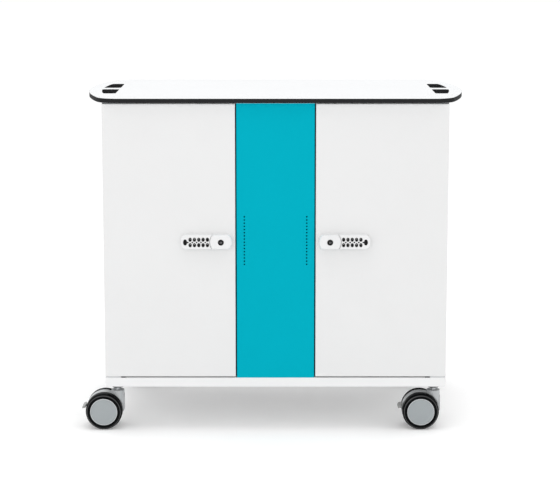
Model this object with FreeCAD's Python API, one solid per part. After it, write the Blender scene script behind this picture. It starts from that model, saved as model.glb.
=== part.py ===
import FreeCAD, Part
import os
import math

# Laptop charging cart. Millimetres, +Z up, the front faces -Y, origin on the floor under the middle.

# Cabinet
CABINET_WIDTH = 920.0
CABINET_DEPTH = 550.0
OVERALL_HEIGHT = 910.0
BOARD_THICKNESS = 18.0
SIDE_THICKNESS = 25.0
BASE_THICKNESS = 25.0
DOOR_THICKNESS = 18.0
DOOR_SIDE_GAP = 3.5
DOOR_END_GAP = 3.5
DOOR_BACK_GAP = 2.0
EDGE_BEVEL = 1.0
CENTRE_PANEL_WIDTH = 208.0
PARTITION_LAP = 6.0

# Worktop
TOP_END_REACH = 57.0
TOP_OVERHANG = 15.0
TOP_THICKNESS = 12.0
TOP_END_RADIUS = 760.0
TOP_CORNER_RADIUS = 60.0
HAND_SLOT_LENGTH = 122.0
HAND_SLOT_BRIDGE = 44.0
HAND_SLOT_RIM = 35.0
HAND_SLOT_CORNER = 8.0
HAND_SLOT_INSET = 25.0
FINGER_ROOM_HEIGHT = 60.0
FINGER_ROOM_DEPTH = 19.0

# Vent holes in the centre panel
VENT_ROWS = 16
VENT_PITCH = 8.6
VENT_RADIUS = 2.4
VENT_COLUMN_X = 83.4
VENT_MIDDLE_Z = 527.5
VENT_SIDES = 6

# Laptop bays
SLOTS_PER_BAY = 10
SHELF_THICKNESS = 6.0
SHELF_DEPTH = 380.0
SHELF_SETBACK = 32.0
GROOVE_DEPTH = 6.0
GROOVE_CLEARANCE = 0.4
FINGER_NOTCH_WIDTH = 90.0
FINGER_NOTCH_DEPTH = 28.0
NOTCH_SIDES = 8

# Power fittings
UNIT_WIDTH = 150.0
UNIT_DEPTH = 260.0
UNIT_HEIGHT = 300.0
UNIT_VENT_COUNT = 6
UNIT_VENT_DEPTH = 3.0
STRIP_WIDTH = 50.0
STRIP_DEPTH = 40.0
STRIP_INSET = 20.0
SOCKET_SIZE = 30.0
SOCKET_RECESS = 3.0
INLET_WIDTH = 60.0
INLET_HEIGHT = 34.0
INLET_FLANGE = 3.0
INLET_BODY_WIDTH = 46.0
INLET_BODY_HEIGHT = 26.0
INLET_BODY_DEPTH = 32.0
INLET_RISE = 60.0
INLET_PIN_PITCH = 8.0
BACK_VENT_COUNT = 5
BACK_VENT_LENGTH = 160.0
BACK_VENT_HEIGHT = 6.0
BACK_VENT_PITCH = 16.0

# Door hinges
PIVOT_INSET_X = 6.0
PIVOT_INSET_Y = 7.0
PIVOT_PIN_RADIUS = 2.5
PIVOT_CLEARANCE = 0.05
HINGE_LEAF_LENGTH = 40.0
HINGE_LEAF_WIDTH = 10.0
HINGE_LEAF_THICKNESS = 3.0
HINGE_PLAY = 0.5
PIVOT_RELIEF = 1.0
PIVOT_PIN_REACH = 5.0

# Rubber rests on the base board, under the doors
REST_LENGTH = 11.5
REST_WIDTH = 12.0
REST_INSET_X = 48.5
REST_INSET_Y = 1.0
REST_PLAY = 0.5

# Keypad locks
LOCK_X = 145.5
LOCK_Z = 526.5
LOCK_HEIGHT = 38.0
LOCK_DEPTH = 20.0
LOCK_REACH = 107.5
LOCK_END_RADIUS = 15.0
LOCK_BEVEL = 2.0
HANDLE_RADIUS = 29.5
HANDLE_GAP = 1.0
HANDLE_DEPTH = 22.0
HANDLE_BEVEL = 2.5
HANDLE_END_RADIUS = 11.0
SPINDLE_RADIUS = 8.5
SPINDLE_CLEARANCE = 0.5
TENON_SIZE = 8.0
PLUG_RADIUS = 7.75
PLUG_CLEARANCE = 0.05
PLUG_LENGTH = 14.0
PLUG_PROUD = 1.0
KEYWAY_WIDTH = 1.6
KEYWAY_HEIGHT = 7.0
KEYWAY_DEPTH = 5.0
KEY_COLUMNS = 5
KEY_FIRST_X = 35.8
KEY_PITCH = 11.5
KEY_ROW_OFFSET = 7.4
KEY_WIDTH = 8.4
KEY_HEIGHT = 10.8
CLEAR_KEY_X = 95.2
CLEAR_KEY_WIDTH = 10.4
CLEAR_KEY_HEIGHT = 16.0
KEY_PROUD = 1.6
KEY_DEPTH = 4.4
KEY_CLEARANCE = 0.35
KEY_TRAVEL = 1.2
KEY_FLOOR_PLAY = 0.3
KEY_BEVEL = 0.7
KEY_SIDES = 10
CAM_LENGTH = 38.0
CAM_WIDTH = 16.0
CAM_THICKNESS = 4.0
CAM_STANDOFF = 13.0
CAM_SLOT_PLAY = 2.0
NUT_RADIUS = 9.0
NUT_THICKNESS = 5.0

# Castors
CASTOR_HEIGHT = 126.0
CASTOR_INSET_X = 28.0
CASTOR_FRONT_INSET = 56.0
CASTOR_BACK_INSET = 36.0
CASTOR_TRAIL = 36.0
WHEEL_RADIUS = 50.0
WHEEL_WIDTH = 27.0
WHEEL_SIDES = 36
WHEEL_CENTRE_RADIUS = 37.0
TYRE_SHOULDER = 5.0
HOOD_THICKNESS = 24.0
WHEEL_PLAY = 0.7
AXLE_RADIUS = 4.0
AXLE_CLEARANCE = 0.05
HOOD_SKIRT = 13.0
COLLAR_RADIUS = 18.0
COLLAR_HEIGHT = 14.0
NECK_CLEARANCE = 2.0
NECK_HEEL_X = 4.0
NECK_HEEL_Z = 28.0
STEM_RADIUS = 7.0
STEM_CLEARANCE = 0.05
STEM_LENGTH = 30.0
PLATE_SIZE = 52.0
PLATE_THICKNESS = 3.0
PLATE_CORNER = 6.0
BEARING_RADIUS = 16.0
BEARING_HEIGHT = 11.0
SWIVEL_GAP = 8.0
STEM_END_PLAY = 0.5
BOLT_OFFSET = 19.0
BOLT_RADIUS = 5.0
BOLT_HEAD = 3.5
PEDAL_PIVOT_X = 36.0
PEDAL_PIVOT_Z = 14.0
PEDAL_PIN_RADIUS = 2.5
PEDAL_ARM_THICKNESS = 8.0
PEDAL_ARM_PLAY = 0.3
PEDAL_BOSS_RADIUS = 6.0
PEDAL_GAP = 1.5
PEDAL_LENGTH = 9.5
PEDAL_WIDTH = 38.0
PEDAL_THICKNESS = 7.0
PEDAL_DROP = 6.0

# Places that follow from the sizes
HALF_WIDTH = CABINET_WIDTH / 2
TOP_LENGTH = CABINET_WIDTH + 2 * TOP_END_REACH
FRONT_Y = -CABINET_DEPTH / 2
BACK_Y = CABINET_DEPTH / 2
DOOR_BACK_Y = FRONT_Y + DOOR_THICKNESS
CARCASS_FRONT_Y = DOOR_BACK_Y + DOOR_BACK_GAP
BACK_PANEL_Y = BACK_Y - BOARD_THICKNESS
BASE_TOP_Z = CASTOR_HEIGHT + BASE_THICKNESS
TOP_UNDER_Z = OVERALL_HEIGHT - TOP_THICKNESS
DOOR_LOW_Z = BASE_TOP_Z + DOOR_END_GAP
DOOR_HIGH_Z = TOP_UNDER_Z - DOOR_END_GAP
DOOR_MIDDLE_Z = (DOOR_LOW_Z + DOOR_HIGH_Z) / 2
SIDE_INNER_X = HALF_WIDTH - SIDE_THICKNESS
CENTRE_HALF = CENTRE_PANEL_WIDTH / 2
PARTITION_INNER_X = CENTRE_HALF - PARTITION_LAP
PARTITION_OUTER_X = PARTITION_INNER_X + BOARD_THICKNESS
DOOR_INNER_X = CENTRE_HALF + DOOR_SIDE_GAP
BAY_MIDDLE_X = (PARTITION_OUTER_X + SIDE_INNER_X) / 2
STRIP_X = PARTITION_OUTER_X + STRIP_INSET + STRIP_WIDTH / 2
SLOT_PITCH = (TOP_UNDER_Z - BASE_TOP_Z) / SLOTS_PER_BAY
SHELF_FRONT_Y = CARCASS_FRONT_Y + SHELF_SETBACK
PIVOT_X = HALF_WIDTH - PIVOT_INSET_X
PIVOT_Y = FRONT_Y + PIVOT_INSET_Y
HANDLE_FRONT_Y = FRONT_Y - HANDLE_DEPTH
LOCK_FRONT_Y = FRONT_Y - LOCK_DEPTH
CAM_Y = DOOR_BACK_Y + CAM_STANDOFF
AXLE_Z = WHEEL_RADIUS
BEARING_Z = CASTOR_HEIGHT - PLATE_THICKNESS - BEARING_HEIGHT
HOOD_TOP_Z = BEARING_Z - SWIVEL_GAP
WHEEL_INNER_Y = HOOD_THICKNESS / 2 + WHEEL_PLAY
WHEEL_OUTER_Y = WHEEL_INNER_Y + WHEEL_WIDTH

SIDES = (("left", -1), ("right", 1))
X_AXIS = FreeCAD.Vector(1, 0, 0)
Y_AXIS = FreeCAD.Vector(0, 1, 0)
Z_AXIS = FreeCAD.Vector(0, 0, 1)


# Helpers

def vec(x, y, z):
    return FreeCAD.Vector(x, y, z)


def span_box(xs, ys, zs):
    corner = vec(min(xs), min(ys), min(zs))
    return Part.makeBox(abs(xs[1] - xs[0]), abs(ys[1] - ys[0]), abs(zs[1] - zs[0]), corner)


def rod(radius, start, axis, length):
    return Part.makeCylinder(radius, length, start, axis)


def ring_points(middle, across, up, sides):
    points = []
    for step in range(sides + 1):
        turn = 2 * math.pi * (step + 0.5) / sides
        points.append(middle + across * math.cos(turn) + up * math.sin(turn))
    return points


def prism(points, direction):
    return Part.Face(Part.makePolygon(points)).extrude(direction)


def edges_along(shape, axis):
    found = []
    for edge in shape.Edges:
        if isinstance(edge.Curve, Part.Line) and abs(edge.tangentAt(edge.FirstParameter).dot(axis)) > 0.999:
            found.append(edge)
    return found


def edges_on_plane(shape, axis, level):
    found = []
    for edge in shape.Edges:
        box = edge.BoundBox
        low = vec(box.XMin, box.YMin, box.ZMin).dot(axis)
        high = vec(box.XMax, box.YMax, box.ZMax).dot(axis)
        if abs(low - level) < 1e-4 and abs(high - level) < 1e-4:
            found.append(edge)
    return found


def shifted(shape, x, y, z):
    moved = shape.copy()
    moved.translate(vec(x, y, z))
    return moved


def mirrored_x(shape):
    return shape.mirror(vec(0, 0, 0), X_AXIS)


def on_side(shape, sign):
    if sign > 0:
        return shape
    return mirrored_x(shape)


def save(name, shapes):
    shape = shapes[0] if len(shapes) == 1 else Part.makeCompound(shapes)
    shape.exportStep("parts/" + name + ".step")


# Worktop with bowed ends and hand-hold slots

def worktop():
    depth = CABINET_DEPTH / 2 + TOP_OVERHANG
    end_centre = TOP_LENGTH / 2 - TOP_END_RADIUS
    body = span_box((-TOP_LENGTH, TOP_LENGTH), (-depth, depth), (TOP_UNDER_Z, OVERALL_HEIGHT))
    for sign in (-1, 1):
        disc = rod(TOP_END_RADIUS, vec(sign * end_centre, 0, TOP_UNDER_Z), Z_AXIS, TOP_THICKNESS)
        body = body.common(disc)
    body = body.makeFillet(TOP_CORNER_RADIUS, edges_along(body, Z_AXIS))
    for sign in (-1, 1):
        for way in (-1, 1):
            body = body.cut(hand_slot(sign, way, end_centre))
    return body


def hand_slot(sign, way, end_centre):
    inner = HALF_WIDTH - HAND_SLOT_INSET
    near = HAND_SLOT_BRIDGE / 2
    slot = span_box(
        (sign * inner, sign * TOP_LENGTH),
        (way * near, way * (near + HAND_SLOT_LENGTH)),
        (TOP_UNDER_Z, OVERALL_HEIGHT),
    )
    rim = rod(TOP_END_RADIUS - HAND_SLOT_RIM, vec(sign * end_centre, 0, TOP_UNDER_Z), Z_AXIS, TOP_THICKNESS)
    slot = slot.common(rim)
    return slot.makeFillet(HAND_SLOT_CORNER, edges_along(slot, Z_AXIS))


# Cabinet boards

def base_panel():
    board = span_box((-HALF_WIDTH, HALF_WIDTH), (FRONT_Y, BACK_Y), (CASTOR_HEIGHT, BASE_TOP_Z))
    return board.makeChamfer(EDGE_BEVEL, edges_on_plane(board, Y_AXIS, FRONT_Y))


def shelf_level(index):
    return BASE_TOP_Z + index * SLOT_PITCH - SHELF_THICKNESS / 2


def shelf_groove(face_x, inward, index):
    low = shelf_level(index)
    return span_box(
        (face_x, face_x + inward * GROOVE_DEPTH),
        (SHELF_FRONT_Y - GROOVE_CLEARANCE, SHELF_FRONT_Y + SHELF_DEPTH + GROOVE_CLEARANCE),
        (low, low + SHELF_THICKNESS + GROOVE_CLEARANCE),
    )


def side_panel():
    board = span_box((SIDE_INNER_X, HALF_WIDTH), (CARCASS_FRONT_Y, BACK_Y), (BASE_TOP_Z, TOP_UNDER_Z))
    for index in range(1, SLOTS_PER_BAY):
        board = board.cut(shelf_groove(SIDE_INNER_X, 1, index))
    for way in (-1, 1):
        board = board.cut(finger_recess(way))
    return board


def finger_recess(way):
    near = HAND_SLOT_BRIDGE / 2
    return span_box(
        (HALF_WIDTH - FINGER_ROOM_DEPTH, HALF_WIDTH),
        (way * near, way * (near + HAND_SLOT_LENGTH)),
        (TOP_UNDER_Z - FINGER_ROOM_HEIGHT, TOP_UNDER_Z),
    )


def partition():
    board = span_box(
        (PARTITION_INNER_X, PARTITION_OUTER_X),
        (CARCASS_FRONT_Y, BACK_PANEL_Y),
        (BASE_TOP_Z, TOP_UNDER_Z),
    )
    for index in range(1, SLOTS_PER_BAY):
        board = board.cut(shelf_groove(PARTITION_OUTER_X, -1, index))
    return board.cut(cam_mortise())


def cam_mortise():
    reach = CAM_LENGTH - (LOCK_X - PARTITION_OUTER_X) + CAM_SLOT_PLAY
    tip = math.hypot(CAM_LENGTH, CAM_WIDTH / 2)
    drop = math.sqrt(tip ** 2 - (LOCK_X - PARTITION_OUTER_X) ** 2)
    return span_box(
        (PARTITION_OUTER_X - reach, PARTITION_OUTER_X),
        (CAM_Y - CAM_SLOT_PLAY, CAM_Y + CAM_THICKNESS + CAM_SLOT_PLAY),
        (LOCK_Z - drop - CAM_SLOT_PLAY, LOCK_Z + CAM_WIDTH / 2 + CAM_SLOT_PLAY),
    )


def shelf(index):
    seat = GROOVE_DEPTH - GROOVE_CLEARANCE
    low = shelf_level(index)
    board = span_box(
        (PARTITION_OUTER_X - seat, SIDE_INNER_X + seat),
        (SHELF_FRONT_Y, SHELF_FRONT_Y + SHELF_DEPTH),
        (low, low + SHELF_THICKNESS),
    )
    middle = vec(BAY_MIDDLE_X, SHELF_FRONT_Y, low)
    points = ring_points(middle, X_AXIS * FINGER_NOTCH_WIDTH / 2, Y_AXIS * FINGER_NOTCH_DEPTH, NOTCH_SIDES)
    return board.cut(prism(points, Z_AXIS * SHELF_THICKNESS))


def back_panel():
    board = span_box((-SIDE_INNER_X, SIDE_INNER_X), (BACK_PANEL_Y, BACK_Y), (BASE_TOP_Z, TOP_UNDER_Z))
    group = (BACK_VENT_COUNT - 1) * BACK_VENT_PITCH
    for sign in (-1, 1):
        middle = sign * (STRIP_X + STRIP_WIDTH + BACK_VENT_LENGTH / 2)
        for low in (BASE_TOP_Z + SLOT_PITCH, TOP_UNDER_Z - SLOT_PITCH - group):
            for row in range(BACK_VENT_COUNT):
                board = board.cut(back_vent(middle, low + row * BACK_VENT_PITCH))
    return board.cut(inlet_body())


def back_vent(middle, level):
    slot = span_box(
        (middle - BACK_VENT_LENGTH / 2, middle + BACK_VENT_LENGTH / 2),
        (BACK_PANEL_Y, BACK_Y),
        (level - BACK_VENT_HEIGHT / 2, level + BACK_VENT_HEIGHT / 2),
    )
    return slot


def centre_panel():
    back = CARCASS_FRONT_Y
    board = span_box((-CENTRE_HALF, CENTRE_HALF), (back - BOARD_THICKNESS, back), (BASE_TOP_Z, TOP_UNDER_Z))
    front_edges = []
    for edge in edges_on_plane(board, Y_AXIS, back - BOARD_THICKNESS):
        if edge.BoundBox.ZLength > BOARD_THICKNESS:
            front_edges.append(edge)
    board = board.makeChamfer(EDGE_BEVEL, front_edges)
    holes = []
    low = VENT_MIDDLE_Z - (VENT_ROWS - 1) * VENT_PITCH / 2
    for sign in (-1, 1):
        for row in range(VENT_ROWS):
            start = vec(sign * VENT_COLUMN_X, back - BOARD_THICKNESS, low + row * VENT_PITCH)
            points = ring_points(start, X_AXIS * VENT_RADIUS, Z_AXIS * VENT_RADIUS, VENT_SIDES)
            holes.append(prism(points, Y_AXIS * BOARD_THICKNESS))
    return board.cut(Part.makeCompound(holes))


# Power fittings

def charging_unit():
    box = span_box(
        (-UNIT_WIDTH / 2, UNIT_WIDTH / 2),
        (BACK_PANEL_Y - INLET_BODY_DEPTH - UNIT_DEPTH, BACK_PANEL_Y - INLET_BODY_DEPTH),
        (BASE_TOP_Z, BASE_TOP_Z + UNIT_HEIGHT),
    )
    front = BACK_PANEL_Y - INLET_BODY_DEPTH - UNIT_DEPTH
    pitch = UNIT_HEIGHT / (UNIT_VENT_COUNT + 1)
    for row in range(1, UNIT_VENT_COUNT + 1):
        level = BASE_TOP_Z + row * pitch
        box = box.cut(span_box(
            (-UNIT_WIDTH / 3, UNIT_WIDTH / 3),
            (front, front + UNIT_VENT_DEPTH),
            (level, level + pitch / 4),
        ))
    return box


def socket_strip():
    front = BACK_PANEL_Y - STRIP_DEPTH
    strip = span_box(
        (STRIP_X - STRIP_WIDTH / 2, STRIP_X + STRIP_WIDTH / 2),
        (front, BACK_PANEL_Y),
        (BASE_TOP_Z, TOP_UNDER_Z),
    )
    for index in range(SLOTS_PER_BAY):
        level = BASE_TOP_Z + (index + 0.5) * SLOT_PITCH
        strip = strip.cut(span_box(
            (STRIP_X - SOCKET_SIZE / 2, STRIP_X + SOCKET_SIZE / 2),
            (front, front + SOCKET_RECESS),
            (level - SOCKET_SIZE / 2, level + SOCKET_SIZE / 2),
        ))
    return strip


def inlet_body():
    level = BASE_TOP_Z + INLET_RISE
    return span_box(
        (-INLET_BODY_WIDTH / 2, INLET_BODY_WIDTH / 2),
        (BACK_Y - INLET_BODY_DEPTH, BACK_Y),
        (level - INLET_BODY_HEIGHT / 2, level + INLET_BODY_HEIGHT / 2),
    )


def power_inlet():
    level = BASE_TOP_Z + INLET_RISE
    flange = span_box(
        (-INLET_WIDTH / 2, INLET_WIDTH / 2),
        (BACK_Y, BACK_Y + INLET_FLANGE),
        (level - INLET_HEIGHT / 2, level + INLET_HEIGHT / 2),
    )
    flange = flange.makeChamfer(INLET_FLANGE, edges_along(flange, Y_AXIS))
    wall = INLET_FLANGE
    floor_y = BACK_Y - INLET_BODY_DEPTH + wall
    hollow = span_box(
        (-INLET_BODY_WIDTH / 2 + wall, INLET_BODY_WIDTH / 2 - wall),
        (floor_y, BACK_Y + INLET_FLANGE),
        (level - INLET_BODY_HEIGHT / 2 + wall, level + INLET_BODY_HEIGHT / 2 - wall),
    )
    body = inlet_body().fuse(flange).cut(hollow)
    for step in (-1, 0, 1):
        pin = span_box(
            (step * INLET_PIN_PITCH - wall / 3, step * INLET_PIN_PITCH + wall / 3),
            (floor_y, BACK_Y - wall),
            (level - wall, level + wall),
        )
        body = body.fuse(pin)
    return body.removeSplitter()


# Door hinges: plates with pins on the cabinet, leaves let into the door ends

def hinge_plate():
    outer = PIVOT_X + HINGE_LEAF_WIDTH / 2
    plate = span_box(
        (outer - HINGE_LEAF_LENGTH, outer),
        (PIVOT_Y - HINGE_LEAF_WIDTH / 2, PIVOT_Y + HINGE_LEAF_WIDTH / 2),
        (BASE_TOP_Z, DOOR_LOW_Z - HINGE_PLAY),
    )
    pin_height = DOOR_END_GAP + HINGE_LEAF_THICKNESS + PIVOT_PIN_REACH
    pin = rod(PIVOT_PIN_RADIUS, vec(PIVOT_X, PIVOT_Y, BASE_TOP_Z), Z_AXIS, pin_height)
    return plate.fuse(pin).removeSplitter()


def hinge_leaf_blank():
    outer = PIVOT_X + HINGE_LEAF_WIDTH / 2
    return span_box(
        (outer - HINGE_LEAF_LENGTH, outer),
        (PIVOT_Y - HINGE_LEAF_WIDTH / 2, PIVOT_Y + HINGE_LEAF_WIDTH / 2),
        (DOOR_LOW_Z, DOOR_LOW_Z + HINGE_LEAF_THICKNESS),
    )


def hinge_leaf():
    bore = rod(PIVOT_PIN_RADIUS + PIVOT_CLEARANCE, vec(PIVOT_X, PIVOT_Y, DOOR_LOW_Z), Z_AXIS, HINGE_LEAF_THICKNESS)
    return hinge_leaf_blank().cut(bore)


def both_ends(shape):
    return [shape, shape.mirror(vec(0, 0, DOOR_MIDDLE_Z), Z_AXIS)]


def door():
    board = span_box((DOOR_INNER_X, HALF_WIDTH), (FRONT_Y, DOOR_BACK_Y), (DOOR_LOW_Z, DOOR_HIGH_Z))
    board = board.makeChamfer(EDGE_BEVEL, edges_on_plane(board, Y_AXIS, FRONT_Y))
    room = PIVOT_PIN_RADIUS + PIVOT_RELIEF
    relief_high = DOOR_LOW_Z + HINGE_LEAF_THICKNESS + PIVOT_PIN_REACH + PIVOT_RELIEF
    relief = span_box(
        (PIVOT_X - room, PIVOT_X + room),
        (PIVOT_Y - room, PIVOT_Y + room),
        (DOOR_LOW_Z, relief_high),
    )
    for seat in both_ends(hinge_leaf_blank().fuse(relief)):
        board = board.cut(seat)
    bore_radius = SPINDLE_RADIUS + SPINDLE_CLEARANCE
    return board.cut(rod(bore_radius, vec(LOCK_X, FRONT_Y, LOCK_Z), Y_AXIS, DOOR_THICKNESS))


# Rest under the outer end of a door

def door_rest():
    middle = HALF_WIDTH - REST_INSET_X
    front = FRONT_Y + REST_INSET_Y
    return span_box(
        (middle - REST_LENGTH / 2, middle + REST_LENGTH / 2),
        (front, front + REST_WIDTH),
        (BASE_TOP_Z, DOOR_LOW_Z - REST_PLAY),
    )


# Keypad locks, drawn for the right door about the handle's axis

def oval(width, height, middle_x, middle_z, front_y, depth):
    middle = vec(middle_x, front_y, middle_z)
    points = ring_points(middle, X_AXIS * (width / 2), Z_AXIS * (height / 2), KEY_SIDES)
    return prism(points, Y_AXIS * depth)


def key_places():
    places = []
    for row, names in ((1, "13579"), (-1, "24680")):
        for column in range(KEY_COLUMNS):
            x = LOCK_X + KEY_FIRST_X + column * KEY_PITCH
            places.append((names[column], x, LOCK_Z + row * KEY_ROW_OFFSET, KEY_WIDTH, KEY_HEIGHT))
    places.append(("clear", LOCK_X + CLEAR_KEY_X, LOCK_Z, CLEAR_KEY_WIDTH, CLEAR_KEY_HEIGHT))
    return places


def key_cap(place):
    name, x, z, width, height = place
    front = LOCK_FRONT_Y - KEY_PROUD
    cap = oval(width, height, x, z, front, KEY_PROUD + KEY_DEPTH)
    return cap.makeChamfer(KEY_BEVEL, edges_on_plane(cap, Y_AXIS, front))


def keypad_housing():
    low = LOCK_Z - LOCK_HEIGHT / 2
    high = LOCK_Z + LOCK_HEIGHT / 2
    body = span_box((LOCK_X, LOCK_X + LOCK_REACH), (LOCK_FRONT_Y, FRONT_Y), (low, high))
    ends = []
    for edge in edges_along(body, Y_AXIS):
        if edge.BoundBox.XMin > LOCK_X + LOCK_REACH / 2:
            ends.append(edge)
    body = body.makeFillet(LOCK_END_RADIUS, ends)
    body = body.cut(rod(HANDLE_RADIUS + HANDLE_GAP, vec(LOCK_X, LOCK_FRONT_Y, LOCK_Z), Y_AXIS, LOCK_DEPTH))
    body = body.makeChamfer(LOCK_BEVEL, outer_rim(body))
    pockets = []
    pocket_depth = KEY_DEPTH + KEY_TRAVEL + KEY_FLOOR_PLAY
    for name, x, z, width, height in key_places():
        grow = 2 * KEY_CLEARANCE
        pockets.append(oval(width + grow, height + grow, x, z, LOCK_FRONT_Y, pocket_depth))
    return body.cut(Part.makeCompound(pockets))


def outer_rim(body):
    rim = []
    for edge in edges_on_plane(body, Y_AXIS, LOCK_FRONT_Y):
        concave = isinstance(edge.Curve, Part.Circle) and edge.Curve.Radius > HANDLE_RADIUS
        if not concave:
            rim.append(edge)
    return rim


def lock_handle():
    grip = rod(HANDLE_RADIUS, vec(LOCK_X, HANDLE_FRONT_Y, LOCK_Z), Y_AXIS, HANDLE_DEPTH)
    flats = span_box(
        (LOCK_X - HANDLE_RADIUS, LOCK_X + HANDLE_RADIUS),
        (HANDLE_FRONT_Y, FRONT_Y),
        (LOCK_Z - LOCK_HEIGHT / 2, LOCK_Z + LOCK_HEIGHT / 2),
    )
    grip = grip.common(flats)
    end_edges = []
    for edge in edges_along(grip, Y_AXIS):
        box = edge.BoundBox
        on_flat = abs(abs(box.ZMin - LOCK_Z) - LOCK_HEIGHT / 2) < 1e-4
        if on_flat and box.XMax < LOCK_X:
            end_edges.append(edge)
    grip = grip.makeFillet(HANDLE_END_RADIUS, end_edges)
    grip = grip.makeChamfer(HANDLE_BEVEL, edges_on_plane(grip, Y_AXIS, HANDLE_FRONT_Y))
    spindle = rod(SPINDLE_RADIUS, vec(LOCK_X, FRONT_Y, LOCK_Z), Y_AXIS, CAM_Y - FRONT_Y)
    tenon = cam_square(CAM_THICKNESS)
    bore = rod(PLUG_RADIUS + PLUG_CLEARANCE, vec(LOCK_X, HANDLE_FRONT_Y, LOCK_Z), Y_AXIS, PLUG_LENGTH - PLUG_PROUD)
    return grip.fuse(spindle).fuse(tenon).cut(bore).removeSplitter()


def cam_square(length):
    half = TENON_SIZE / 2
    return span_box((LOCK_X - half, LOCK_X + half), (CAM_Y, CAM_Y + length), (LOCK_Z - half, LOCK_Z + half))


def key_plug():
    front = HANDLE_FRONT_Y - PLUG_PROUD
    plug = rod(PLUG_RADIUS, vec(LOCK_X, front, LOCK_Z), Y_AXIS, PLUG_LENGTH)
    keyway = span_box(
        (LOCK_X - KEYWAY_WIDTH / 2, LOCK_X + KEYWAY_WIDTH / 2),
        (front, front + KEYWAY_DEPTH),
        (LOCK_Z - KEYWAY_HEIGHT / 2, LOCK_Z + KEYWAY_HEIGHT / 2),
    )
    return plug.cut(keyway)


def lock_cam():
    half = CAM_WIDTH / 2
    blade = span_box(
        (LOCK_X - half, LOCK_X + half),
        (CAM_Y, CAM_Y + CAM_THICKNESS),
        (LOCK_Z - CAM_LENGTH, LOCK_Z + half),
    )
    corner_edges = edges_along(blade, Y_AXIS)
    blade = blade.makeChamfer(half / 3, corner_edges).cut(cam_square(CAM_THICKNESS))
    middle = vec(LOCK_X, CAM_Y + CAM_THICKNESS, LOCK_Z)
    screw = prism(ring_points(middle, X_AXIS * NUT_RADIUS, Z_AXIS * NUT_RADIUS, 6), Y_AXIS * NUT_THICKNESS)
    return [blade, screw]


# Castors, drawn with the swivel axis at x = y = 0 and the floor at z = 0, with the wheels trailing to -X

def castor_mount():
    half = PLATE_SIZE / 2
    plate_z = CASTOR_HEIGHT - PLATE_THICKNESS
    plate = span_box((-half, half), (-half, half), (plate_z, CASTOR_HEIGHT))
    plate = plate.makeChamfer(PLATE_CORNER, edges_along(plate, Z_AXIS))
    bearing = rod(BEARING_RADIUS, vec(0, 0, BEARING_Z), Z_AXIS, BEARING_HEIGHT)
    stem = rod(STEM_RADIUS, vec(0, 0, HOOD_TOP_Z - STEM_LENGTH), Z_AXIS, STEM_LENGTH + SWIVEL_GAP)
    solids = [plate.fuse(bearing).fuse(stem).removeSplitter()]
    for x_way in (-1, 1):
        for y_way in (-1, 1):
            start = vec(x_way * BOLT_OFFSET, y_way * BOLT_OFFSET, plate_z - BOLT_HEAD)
            points = ring_points(start, X_AXIS * BOLT_RADIUS, Y_AXIS * BOLT_RADIUS, 6)
            solids.append(prism(points, Z_AXIS * BOLT_HEAD))
    return solids


def hood(braked):
    half = HOOD_THICKNESS / 2
    collar_z = HOOD_TOP_Z - COLLAR_HEIGHT
    axle = vec(-CASTOR_TRAIL, -half, AXLE_Z)
    web = wheel_disc(WHEEL_RADIUS, axle, Y_AXIS * HOOD_THICKNESS)
    floor_cut = span_box(
        (-CASTOR_TRAIL - WHEEL_RADIUS, -CASTOR_TRAIL + WHEEL_RADIUS),
        (-half, half),
        (0, AXLE_Z - HOOD_SKIRT),
    )
    web = web.cut(floor_cut)
    corners = [
        vec(COLLAR_RADIUS, -half, collar_z),
        vec(COLLAR_RADIUS, -half, AXLE_Z),
        vec(NECK_HEEL_X, -half, NECK_HEEL_Z),
        vec(-CASTOR_TRAIL, -half, AXLE_Z - HOOD_SKIRT),
        vec(-CASTOR_TRAIL, -half, AXLE_Z + HOOD_SKIRT),
        vec(-COLLAR_RADIUS, -half, collar_z),
    ]
    arm = prism(corners + corners[:1], Y_AXIS * HOOD_THICKNESS)
    body = web.fuse(arm).fuse(neck()).removeSplitter()
    body = body.cut(rod(AXLE_RADIUS + AXLE_CLEARANCE, axle, Y_AXIS, HOOD_THICKNESS))
    bore_start = vec(0, 0, HOOD_TOP_Z - STEM_LENGTH - STEM_END_PLAY)
    body = body.cut(rod(STEM_RADIUS + STEM_CLEARANCE, bore_start, Z_AXIS, STEM_LENGTH + STEM_END_PLAY))
    if braked:
        pivot = pedal_pivot()
        pin = rod(PEDAL_PIN_RADIUS, vec(pivot.x, -half, pivot.z), Y_AXIS, HOOD_THICKNESS)
        body = body.cut(pedal_slot()).fuse(pin).removeSplitter()
    return body


def neck():
    column = rod(COLLAR_RADIUS, vec(0, 0, AXLE_Z), Z_AXIS, HOOD_TOP_Z - AXLE_Z)
    for way in (-1, 1):
        start = vec(-CASTOR_TRAIL, way * HOOD_THICKNESS / 2, AXLE_Z)
        column = column.cut(wheel_disc(WHEEL_RADIUS + NECK_CLEARANCE, start, Y_AXIS * way * WHEEL_WIDTH))
    return column


def pedal_pivot():
    return vec(-CASTOR_TRAIL - PEDAL_PIVOT_X, 0, AXLE_Z + PEDAL_PIVOT_Z)


def pedal_slot():
    pivot = pedal_pivot()
    wide = PEDAL_ARM_THICKNESS / 2 + PEDAL_ARM_PLAY
    room = PEDAL_BOSS_RADIUS + 2 * PEDAL_ARM_PLAY
    return span_box(
        (-CASTOR_TRAIL - 2 * WHEEL_RADIUS, pivot.x + room),
        (-wide, wide),
        (0, pivot.z + room),
    )


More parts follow.
